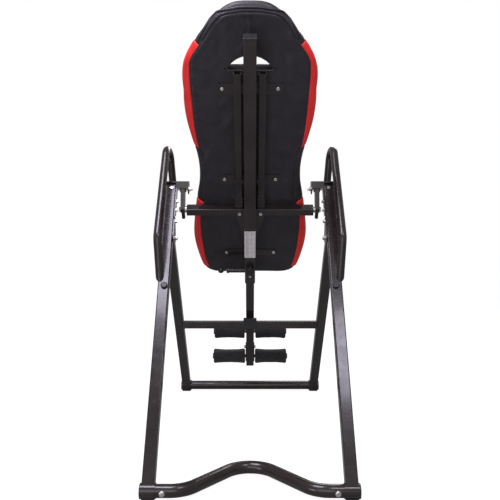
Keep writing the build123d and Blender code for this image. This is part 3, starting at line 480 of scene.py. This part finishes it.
def cushion_rows():
    """Rows of (x, v, u) round the pad, from behind the panel's edge to the front middle."""
    tuck_depth = 5.0
    side_steps = 9
    side_roundness = 0.9
    front_steps = 11
    front_roundness = 0.85
    wing_width = 66.0
    widest_share = 0.45
    middle_steps = 15
    crown = 3.0
    towards = spine - panel_edge
    reach = np.hypot(*towards.T)[:, None]
    tuck = panel_edge + towards / reach * tuck_depth
    rows = [
        [(x, hidden_v, u) for x, u in spine * 0.5 + tuck * 0.5],
        [(x, hidden_v, u) for x, u in tuck],
        [(x, (hidden_v + seam_v) / 2, u) for x, u in tuck],
    ]
    edge_row = len(rows)
    for step in range(side_steps + 1):
        angle = pi / 2 * (1 - step / side_steps)
        inward = 1 - cos(angle)
        ring = pad_loop + (panel_edge - pad_loop) * inward
        v = widest_v + (seam_v - widest_v) * sin(angle) ** side_roundness
        rows.append([(x, v, u + slant(u, inward)) for x, u in ring])
    direction = spine - pad_loop
    distance = np.hypot(*direction.T)[:, None]
    wing = np.minimum(wing_width, distance * widest_share)
    for step in range(1, front_steps + 1):
        angle = pi / 2 * step / front_steps
        inward = 1 - cos(angle)
        ring = pad_loop + direction / distance * wing * inward
        v = widest_v + (face_v - widest_v) * sin(angle) ** front_roundness
        rows.append([(x, v, u + slant(u, inward)) for x, u in ring])
    seam_row = len(rows) - 1
    seam_ring = pad_loop + direction / distance * wing
    for step in range(1, middle_steps + 1):
        share = step / (middle_steps + OPEN_STEP)
        ring = seam_ring + (spine - seam_ring) * share
        # the crown is reached a quarter of the way in, and the slant is gone at a third
        v = face_v + crown * ease(share * 4)
        rows.append([(x, v, u + slant(u, 1 - ease(share * 3))) for x, u in ring])
    return rows, edge_row, seam_row


def simulate(piece, pinned, caps):
    """Inflates a piece between its pinned seams and keeps the shape, within each point's cap."""
    start = np.empty(len(piece.data.vertices) * 3, np.float32)
    piece.data.vertices.foreach_get("co", start)
    group = piece.vertex_groups.new(name="seams")
    group.add(pinned, 1.0, "REPLACE")
    cloth = piece.modifiers.new("cloth", "CLOTH")
    for key, value in CLOTH.items():
        setattr(cloth.settings, key, value)
    cloth.settings.effector_weights.gravity = 0
    cloth.collision_settings.use_collision = False
    for step in range(1, CLOTH_FRAMES + 1):
        bpy.context.scene.frame_set(step)
    graph = bpy.context.evaluated_depsgraph_get()
    puffed = piece.evaluated_get(graph).data
    end = np.empty_like(start)
    puffed.vertices.foreach_get("co", end)
    piece.modifiers.clear()
    bpy.context.scene.frame_set(1)
    move = (end - start).reshape(-1, 3)
    size = np.linalg.norm(move, axis=1, keepdims=True)
    limited = move * np.minimum(1.0, caps[:, None] / np.maximum(size, TINY))
    piece.data.vertices.foreach_set("co", (start.reshape(-1, 3) + limited).ravel())
    piece.data.update()
    piece.vertex_groups.clear()


def shift_along_normals(mesh, amounts):
    """Moves each vertex along its normal by its own amount in metres."""
    for vertex, amount in zip(mesh.vertices, amounts):
        if amount:
            vertex.co += vertex.normal * amount


def handle_ring(inset, v):
    """Half-moon round the handle opening, flat side down, inset all round."""
    count = 120
    upright_share = 0.6  # of the inset, above and below
    corner = 10.0
    corner_rise = 4
    half = HANDLE["half_width"] - inset
    low = HANDLE["low"] + inset * upright_share
    high = HANDLE["high"] - inset * upright_share
    rise = high - low
    radius = (half * half + rise * rise) / (2 * rise)
    ring = []
    for step in range(count):
        angle = 2 * pi * step / count
        x = half * cos(angle)
        arch = high - radius + np.sqrt(max(radius * radius - x * x, 0))
        u = arch if sin(angle) >= 0 else low
        edge = min(1.0, (half - abs(x)) / corner)
        ring.append(bed_point(x, v, u * edge + (low + corner_rise) * (1 - edge)))
    return ring


def handle_cutter():
    """Prism that opens the handle through the backrest."""
    oversize = 1.0
    behind = 30
    ahead = 40
    rings = [handle_ring(-oversize, v) for v in (cover_back - behind, pad_front + ahead)]
    count = len(rings[0])
    faces = ring_faces(2, count, flip=True)
    faces.append(tuple(range(count)))
    faces.append(tuple(range(count, 2 * count))[::-1])
    mesh = bpy.data.meshes.new("handle_cutter")
    mesh.from_pydata([tuple(p) for ring in rings for p in ring], [], faces)
    cutter = bpy.data.objects.new("handle_cutter", mesh)
    bpy.context.scene.collection.objects.link(cutter)
    return cutter


def cord(name, points, radii, closed, sides=10):
    """Round vinyl cord along points; radii gives its radius in metres at every point."""
    made = []
    count = len(points)
    for index, point in enumerate(points):
        after = points[(index + 1) % count] if closed else points[min(index + 1, count - 1)]
        before = points[index - 1] if closed else points[max(index - 1, 0)]
        ahead = (after - before).normalized()
        side = ahead.cross(BED_V).normalized()
        up = side.cross(ahead).normalized()
        for k in range(sides):
            angle = 2 * pi * k / sides
            made.append(point + (side * cos(angle) + up * sin(angle)) * radii[index])
    faces = ring_faces(count, sides, closed_rows=closed, flip=True)
    if not closed:
        faces.append(tuple(range(sides)))
        faces.append(tuple(range((count - 1) * sides, count * sides))[::-1])
    new_piece(name, made, faces, BLACK_VINYL, "bed")


def stitches(name, path, up, pitch, length, radius):
    """Row of short threads along a path, each slightly sunk at its ends."""
    # place along the stitch and height, as shares of its length and its radius
    arch = ((-0.5, -0.5), (-0.3, 0.5), (0.3, 0.5), (0.5, -0.5))
    sides = 6
    gaps = [(b - a).length for a, b in zip(path, path[1:])]
    total = sum(gaps)
    places = np.concatenate([[0], np.cumsum(gaps)])
    coordinates = np.array([tuple(p) for p in path])

    def at(distance):
        inside = min(max(distance, 0), total)
        return Vector([np.interp(inside, places, coordinates[:, k]) for k in range(3)])

    points = []
    faces = []
    for index in range(int(total / pitch)):
        middle = (index + 0.5) * pitch
        centres = [at(middle + part * length) + up * radius * height for part, height in arch]
        ahead = (centres[2] - centres[1]).normalized()
        side = ahead.cross(up).normalized()
        first = len(points)
        for centre in centres:
            for k in range(sides):
                angle = 2 * pi / sides * k
                points.append(centre + (side * cos(angle) + up * sin(angle)) * radius)
        faces += [tuple(first + i for i in quad) for quad in ring_faces(len(arch), sides)]
        faces.append(tuple(range(first, first + sides))[::-1])
        faces.append(tuple(range(len(points) - sides, len(points))))
    new_piece(name, points, faces, THREAD, "bed")


def build_cushion():
    """Black cushion, inflated between its seams."""
    rows, edge_row, seam_row = cushion_rows()
    points = [bed_point(*p) for row in rows for p in row]
    count = len(rows)
    faces = ring_faces(count, AROUND, flip=True)
    faces += middle_faces(0, rearward=True)
    faces += middle_faces(count - 1, rearward=False)
    cushion = new_piece("back_cushion", points, faces, BLACK_VINYL, "bed")

    channel_columns = set()
    for place in CHANNELS:
        right = int(np.argmin(np.abs(pad_loop[: AROUND // 2, 1] - place)))
        channel_columns.update((right, (AROUND - right) % AROUND))
    colour_columns = colour_seam_columns()

    def seam_depth(row, column):
        """Depth of the seam at a point in millimetres, nothing away from the seams."""
        if row in (edge_row, seam_row):
            return SEAM_DEPTH["edge"]
        if row > seam_row + 1 and column in channel_columns:
            return SEAM_DEPTH["channel"]
        if edge_row < row < seam_row and column in colour_columns:
            return SEAM_DEPTH["colour"]
        return 0.0

    depths = np.array([seam_depth(row, column) for row in range(count) for column in range(AROUND)])
    hidden = edge_row * AROUND
    pinned = [index for index, depth in enumerate(depths) if depth or index < hidden]
    caps = np.full(len(points), SWELL["front"] * MM)
    caps[hidden : seam_row * AROUND] = SWELL["side"] * MM
    simulate(cushion, pinned, caps)
    shift_along_normals(cushion.data, -depths * MM)
    return cushion, rows, edge_row, seam_row


def colour_seam_columns():
    """Columns of the pad's outline where red and black meet."""
    side_x = 130  # the outline's bottom and top lie nearer to the middle
    right = pad_loop[: AROUND // 2]
    columns = set()
    for place in SLANT:
        gap = np.where(right[:, 0] > side_x, np.abs(right[:, 1] - place), np.inf)
        column = int(np.argmin(gap))
        columns.update((column, (AROUND - column) % AROUND))
    return columns


def red_runs():
    """Runs of columns of the four red wings, as (first, last)."""
    marks = sorted(colour_seam_columns())
    middles = [pad_loop[(first + last) // 2] for first, last in zip(marks, marks[1:])]
    return [run for run, middle in zip(zip(marks, marks[1:]), middles) if is_red(middle[1])]


def build_wings(cushion, edge_row, seam_row):
    """Red vinyl skins over the cushion's sides, each a closed thin shell."""
    mesh = cushion.data
    normals = [v.normal.copy() for v in mesh.vertices]
    names = ("wing_lower_right", "wing_upper_right", "wing_upper_left", "wing_lower_left")
    rows = range(edge_row, seam_row + 1)
    covered = set()
    wings = []
    for name, (first, last) in zip(names, red_runs()):
        grid = [row * AROUND + column for row in rows for column in range(first, last + 1)]
        points = [mesh.vertices[index].co.copy() for index in grid]
        width = last - first + 1
        faces = []
        for row in range(len(rows) - 1):
            for a in range(row * width, (row + 1) * width - 1):
                faces.append((a, a + 1, a + width + 1, a + width))
        wing = new_piece(name, points, faces, RED_VINYL, "bed")
        modify(wing, "SUBSURF", levels=1, render_levels=1)
        modify(wing, "SOLIDIFY", thickness=SKIN["wing"] * MM, offset=-1.0, use_even_offset=False)
        shade_smooth(wing)
        covered.update(grid)
        wings.append(wing)
    for index in covered:
        mesh.vertices[index].co -= normals[index] * WING_INLAY * MM
    return wings


def build_cover():
    """Vinyl panel on the rear of the board, rolled over its edge, with soft wrinkles."""
    # inset from the panel's outline and height in front of the flat, over the rolled edge
    profile = (
        (3.6, 4.2), (1.2, 4.0), (0.0, 2.6), (0.3, 1.0), (1.6, -0.4), (4.0, -1.2),
        (8.0, -1.4), (13.0, -0.9), (20.0, -0.3), (32.0, 0.0),
    )
    flat_v = cover_back + 0.6
    flat_steps = 16
    centre = middle_line(panel_loop)
    direction = centre - panel_loop
    distance = np.hypot(*direction.T)[:, None]
    rows = []
    for inset, lift in profile:
        ring = panel_loop + direction / distance * inset
        rows.append([(x, flat_v + lift, u) for x, u in ring])
    start = panel_loop + direction / distance * profile[-1][0]
    for step in range(1, flat_steps + 1):
        ring = start + (centre - start) * (step / (flat_steps + OPEN_STEP))
        rows.append([(x, flat_v, u) for x, u in ring])
    points = []
    for number, row in enumerate(rows):
        for x, v, u in row:
            points.append(bed_point(x, v + cover_wrinkle(x, u, number), u))
    count = len(rows)
    faces = ring_faces(count, AROUND) + middle_faces(count - 1, rearward=True)
    cover = new_piece("rear_panel", points, faces, PANEL_VINYL, "bed")
    modify(cover, "SOLIDIFY", thickness=SKIN["panel"] * MM, offset=-1.0)
    return cover


def cover_wrinkle(x, u, row):
    """Height of the panel's wrinkles at a place, in millimetres. Negative is outward.

    x and u are divided by the wrinkles' lengths each way.
    """
    first_loose_row = 4
    pucker_row = 7
    pucker_rows = 6
    broad_height = 2.4
    ridge_height = 9.0
    pucker_height = 3.4
    strap_hold = 0.85
    strap_half_width = 26
    strap_half_length = 130
    if row < first_loose_row:
        return 0.0
    broad = abs(noise.noise(Vector((x / 85, u / 120, 0.3)))) * broad_height
    lean = u / 150 if x > 0 else -u / 150
    ridge = max(0.0, noise.noise(Vector((x / 30 + lean, u / 70 - x / 260, 2.7)))) ** 2
    edge = max(0.0, 1 - abs(row - pucker_row) / pucker_rows)
    pucker = abs(noise.noise(Vector((u / 13 + x / 40, 0.4, 1.9)))) * pucker_height * edge
    loose = 1.0
    for strap in STRAP_PLACES:
        near = np.exp(-(((u - strap) / strap_half_width) ** 2)) * (abs(x) < strap_half_length)
        loose *= 1 - strap_hold * near
    return -(broad + ridge * ridge_height + pucker) * loose


def build_lining():
    """Dark rounded sleeve through the handle opening."""
    # inset from the opening, and v, from behind the panel to the user's side and back
    profile = (
        (-3.0, cover_back + 2.0), (-5.0, cover_back - 0.2), (-4.0, cover_back - 1.8),
        (-1.0, cover_back - 2.2), (2.0, cover_back - 1.0), (5.0, cover_back + 4.0),
        (8.5, cover_back + 13.0), (10.5, cover_back + 25.0), (10.5, cover_back + 33.0),
        (8.0, cover_back + 45.0), (3.0, pad_front - 3.0), (-2.0, pad_front + 0.5),
        (-5.0, pad_front - 0.8), (-6.0, pad_front - 4.0), (-3.0, pad_front - 8.0),
    )
    rings = [handle_ring(inset, v) for inset, v in profile]
    points = [p for ring in rings for p in ring]
    faces = ring_faces(len(rings), len(rings[0]), closed_rows=True)
    lining = new_piece("handle_lining", points, faces, BLACK_VINYL, "bed")
    modify(lining, "SUBSURF", levels=1, render_levels=1)


def build_backrest():
    cutter = handle_cutter()
    cushion, rows, edge_row, seam_row = build_cushion()
    wings = build_wings(cushion, edge_row, seam_row)
    modify(cushion, "SUBSURF", levels=1, render_levels=1)
    modify(cushion, "BOOLEAN", operation="DIFFERENCE", solver="EXACT", object=cutter)
    cover = build_cover()
    modify(cover, "BOOLEAN", operation="DIFFERENCE", solver="EXACT", object=cutter)
    shade_smooth(cushion)
    shade_smooth(cover)
    bpy.data.objects.remove(cutter)
    build_lining()
    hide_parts("back_pad")
    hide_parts("side_bolsters")
    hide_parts("rear_cover")

    # piping round the panel, then round the user's side between centre and bolsters
    piping_height = 3.2
    edge = [bed_point(x, cover_back + piping_height, u) for x, u in panel_edge]
    cord("panel_piping", edge, [PIPING_RADIUS["panel"] * MM] * AROUND, closed=True)
    front = [bed_point(*place) for place in rows[seam_row]]
    cord("front_piping", front, [PIPING_RADIUS["front"] * MM] * AROUND, closed=True)
    build_welts()
    build_stitches()


def wrap_place(column, outward):
    """Point of the rear wrap that far outside the panel's edge, in millimetres."""
    fullness = 2.2
    edge = panel_edge[column]
    side = pad_loop[column] - edge
    share = min(outward / np.hypot(*side), 1.0)
    x, u = edge + side * share
    v = widest_v + (seam_v - widest_v) * (1 - share**fullness) ** 0.5
    return bed_point(x, v, u)


def build_welts():
    """Double rolled welt round the head, just outside the panel, thin where it starts."""
    red_end = RED_SPANS[1][1]
    clear_of_red = 6
    thin = 0.4
    thinning = 30
    columns = [i for i in range(AROUND) if pad_loop[i][1] > red_end + clear_of_red]
    fades = [ease((pad_loop[column][1] - red_end) / thinning) for column in columns]
    for name, outward, thick in (("head_welt_inner", 6.0, 4.6), ("head_welt_outer", 15.5, 4.8)):
        points = [wrap_place(column, outward) for column in columns]
        radii = [(thin + (thick - thin) * fade) * MM for fade in fades]
        cord(name, points, radii, closed=False, sides=14)


def build_stitches():
    """Stitches on the rear of the panel, a little inside its edge."""
    inset = 9.0
    thread = 0.55
    direction = spine - panel_edge
    direction = direction / np.hypot(*direction.T)[:, None]
    seam = panel_edge + direction * inset
    path = [bed_point(x, cover_back - thread, u) for x, u in np.vstack([seam, seam[:1]])]
    up = (-BED_V).normalized()
    stitches("panel_stitches", path, up, pitch=5.0 * MM, length=3.6 * MM, radius=thread * MM)


# ---------------------------------------------------------------------------------------
# Foam rollers
# ---------------------------------------------------------------------------------------


def build_roller(node, body, seed):
    """Foam sleeve on its axle: slightly hollow sides, soft uneven ends, cut pores."""
    bore = 8.3
    corner = 8.0
    waist = 3.6
    side_steps = 24
    around = 96
    uneven_from = 12  # radius, so that the bore stays round
    lump_height = 0.9
    fine_height = 0.35
    end_height = 0.5
    end_zone = 4
    left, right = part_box(node)[0][0] / MM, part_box(node)[1][0] / MM
    low_v, high_v = node_range(node, BED_V)
    low_u, high_u = node_range(node, BED_U)
    centre_v = (low_v + high_v) / 2
    centre_u = (low_u + high_u) / 2
    radius = (high_v - low_v) / 2
    length = right - left

    face = [(0.6, bore), (0.3, 14.0), (0.1, 20.0)]
    face += [
        (corner * (1 - cos(a)), radius - corner + corner * sin(a))
        for a in (radians(d) for d in (5, 20, 35, 50, 65, 80, 90))
    ]
    profile = list(face)
    for step in range(1, side_steps):
        t = step / side_steps
        x = corner + (length - 2 * corner) * t
        profile.append((x, radius - waist * (4 * t * (1 - t)) ** 0.8))
    profile += [(length - x, r) for x, r in face[::-1]]
    profile += [(length * share, bore) for share in (0.75, 0.5, 0.25)]

    points = []
    for x, r in profile:
        for k in range(around):
            angle = 2 * pi * k / around
            lump = 0
            end = 0.0
            if r > uneven_from:
                place = Vector((x / 26 + seed * 7.3, cos(angle) * 1.6, sin(angle) * 1.6))
                lump = noise.noise(place) * lump_height + noise.noise(place * 3.1) * fine_height
                end = noise.noise(Vector((seed, r / 12, angle))) * end_height
            depth = r + lump
            across = left + x + (end if x < end_zone or x > length - end_zone else 0)
            points.append(
                bed_point(across, centre_v + depth * cos(angle), centre_u + depth * sin(angle))
            )
    faces = ring_faces(len(profile), around, closed_rows=True)
    roller = new_piece(node + "_foam", points, faces, FOAM, body)
    modify(roller, "SUBSURF", levels=1, render_levels=1)
    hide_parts(node)


# ---------------------------------------------------------------------------------------
# Lock pin spring
# ---------------------------------------------------------------------------------------


def build_spring():
    """Coil between the barrel and the lock pin, kept at one length, though the real one shortens as the pin is
    pulled.
    """
    coil = nodes["lock_pin_spring"].data
    points = [v.co.copy() for v in coil.vertices]
    faces = [tuple(p.vertices) for p in coil.polygons]
    spring = new_piece("lock_spring_coil", points, faces, SPRING, "bed")
    modify(spring, "WELD", merge_threshold=WELD_DISTANCE)
    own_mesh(spring)
    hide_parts("lock_pin_spring")


# ---------------------------------------------------------------------------------------
# Height scale
# ---------------------------------------------------------------------------------------

SCALE = {"lines": 12, "margin": 5.5, "raised": 0.12, "sunk": 0.05}


def scale_heights():
    """Places of the scale's main lines along u, and their pitch."""
    low, high = node_range("height_scale", BED_U)
    pitch = (high - low - 2 * SCALE["margin"]) / (SCALE["lines"] - 1)
    heights = [low + SCALE["margin"] + pitch * index for index in range(SCALE["lines"])]
    return heights, pitch


def build_scale_lines():
    """Printed lines of the height scale, as thin raised ink."""
    low, high = node_range("height_scale", BED_U)
    face = node_range("height_scale", BED_V)[0]
    heights, pitch = scale_heights()
    points = []
    faces = []

    def block(x0, x1, u0, u1):
        first = len(points)
        for v in (face - SCALE["raised"], face + SCALE["sunk"]):
            for x, u in ((x0, u0), (x1, u0), (x1, u1), (x0, u1)):
                points.append(bed_point(x, v, u))
        a, b, c, d, e, f, g, h = range(first, first + 8)
        faces.extend(((a, b, c, d), (h, g, f, e), (a, e, f, b), (b, f, g, c),
                      (c, g, h, d), (d, h, e, a)))

    edge = -13
    long_end = -2
    short_end = -7
    halfway_end = -10
    line = 0.5
    fine_line = 0.3
    for index, u in enumerate(heights):
        block(edge, short_end if index % 2 else long_end, u - line, u + line)
        if index < len(heights) - 1:
            halfway = u + pitch / 2
            block(edge, halfway_end, halfway - fine_line, halfway + fine_line)
    border = (-13.8, -13.2)
    border_margin = 4
    block(*border, low + border_margin, high - border_margin)
    new_piece("scale_marks", points, faces, INK, "bed")


def build_scale_numbers():
    """Number beside every second line of the height scale."""
    face = node_range("height_scale", BED_V)[0]
    heights, _ = scale_heights()
    beside = 7
    number_size = 9.5
    number_thickness = 0.08
    for number, u in enumerate(heights[::2], 1):
        curve = bpy.data.curves.new("number", "FONT")
        curve.body = str(number)
        curve.size = number_size * MM
        curve.extrude = number_thickness * MM
        curve.align_x = "CENTER"
        curve.align_y = "CENTER"
        text = bpy.data.objects.new("number", curve)
        bpy.context.scene.collection.objects.link(text)
        turn = Matrix((BED_X, BED_U, -BED_V)).transposed().to_4x4()
        turn.translation = bed_point(beside, face - SCALE["sunk"], u)
        text.matrix_world = turn
        bpy.context.view_layer.update()
        graph = bpy.context.evaluated_depsgraph_get()
        shape = bpy.data.meshes.new_from_object(text.evaluated_get(graph))
        shape.transform(turn)
        points = [v.co.copy() for v in shape.vertices]
        polygons = [tuple(p.vertices) for p in shape.polygons]
        bpy.data.objects.remove(text)
        digit = new_piece(f"scale_number_{number}", points, polygons, INK, "bed")
        modify(digit, "WELD", merge_threshold=WELD_DISTANCE)


build_backrest()
for seed, place in enumerate(("heel_left", "heel_right", "shin_left", "shin_right"), 1):
    build_roller(place.replace("_", "_roller_"), place, seed)
build_scale_lines()
build_scale_numbers()
build_spring()


# ---------------------------------------------------------------------------------------
# Studio
# ---------------------------------------------------------------------------------------

# What the camera sees of the white surroundings, and what they give the object as light.
BACKDROP = {"seen": 1.0, "unseen": 0.32}
FLOOR_GLOW = {"seen": 0.93, "unseen": 0.1}
FLOOR_SPAN = 12.0
LAVENDER = (0.87, 0.83, 1.0)
MIDDLE = (0, 0, 0.9)
# Each light's name, place, target, size, power and colour.
LIGHTS = (
    ("left_box", (-0.62, -0.88, 2.65), (-0.3, -0.1, 0.9), (1.0, 1.0), 40, LAVENDER),
    ("right_box", (0.72, -1.7, 2.45), (0.3, -0.3, 0.5), (0.5, 0.6), 12, LAVENDER),
    ("back_fill", (-0.6, -3.6, 1.3), MIDDLE, (2.6, 2.0), 26, (1.0, 0.98, 0.97)),
    ("low_box", (-0.9, -1.5, 0.2), (0, -0.3, 1.4), (0.4, 0.5), 4, LAVENDER),
    ("front_box", (0.9, 2.3, 2.6), MIDDLE, (1.6, 1.2), 40, (1.0, 0.98, 0.96)),
)
CAMERA_PLACE = (0.0, -2.6004, 0.8854)
CAMERA_TILT = radians(90 - 3.29)
CAMERA_LENS = 47.2


def camera_only(shader, seen, unseen):
    """Strength that differs between what the camera sees and what lights the object."""
    ray = shader.node("ShaderNodeLightPath").outputs["Is Camera Ray"]
    return shader.ramp(ray, unseen, seen, 0, 1)


def studio_floor():
    shader = Shader("studio_floor")
    shader.set(Base_Color=(0.22, 0.22, 0.22, 1), Roughness=0.8, Specular_IOR_Level=0.1)
    shader.set(Emission_Color=(1, 1, 1, 1))
    glow = camera_only(shader, **FLOOR_GLOW)
    shader.link(glow, shader.surface.inputs["Emission Strength"])
    grain = shader.bump(shader.noise(40, 3), 0.05, MM)
    material = shader.finish(normal=grain)
    mesh = bpy.data.meshes.new("studio_floor")
    span = FLOOR_SPAN
    corners = [(-span, -span, 0), (span, -span, 0), (span, span, 0), (-span, span, 0)]
    mesh.from_pydata(corners, [], [(0, 1, 2, 3)])
    mesh.materials.append(material)
    floor = bpy.data.objects.new("studio_floor", mesh)
    bpy.context.scene.collection.objects.link(floor)


def soft_light(name, place, target, size, power, colour):
    data = bpy.data.lights.new(name, "AREA")
    data.shape = "RECTANGLE"
    data.size, data.size_y = size
    data.energy = power
    data.color = colour
    light = bpy.data.objects.new(name, data)
    light.location = place
    aim = Vector(target) - Vector(place)
    light.rotation_euler = aim.to_track_quat("-Z", "Y").to_euler()
    light.visible_camera = False
    bpy.context.scene.collection.objects.link(light)


def studio():
    world = bpy.data.worlds.new("studio")
    bpy.context.scene.world = world
    world.use_nodes = True
    backdrop = world.node_tree.nodes["Background"]
    backdrop.inputs["Color"].default_value = (1, 1, 1, 1)
    ray = world.node_tree.nodes.new("ShaderNodeLightPath")
    strength = world.node_tree.nodes.new("ShaderNodeMapRange")
    strength.inputs["To Min"].default_value = BACKDROP["unseen"]
    strength.inputs["To Max"].default_value = BACKDROP["seen"]
    world.node_tree.links.new(ray.outputs["Is Camera Ray"], strength.inputs["Value"])
    world.node_tree.links.new(strength.outputs["Result"], backdrop.inputs["Strength"])
    studio_floor()
    for light in LIGHTS:
        soft_light(*light)
    camera = bpy.data.objects.new("camera", bpy.data.cameras.new("camera"))
    camera.location = CAMERA_PLACE
    camera.rotation_euler = (CAMERA_TILT, 0.0, 0.0)
    camera.data.lens = CAMERA_LENS
    bpy.context.scene.collection.objects.link(camera)
    bpy.context.scene.camera = camera
    bpy.context.scene.view_settings.view_transform = "Standard"


studio()
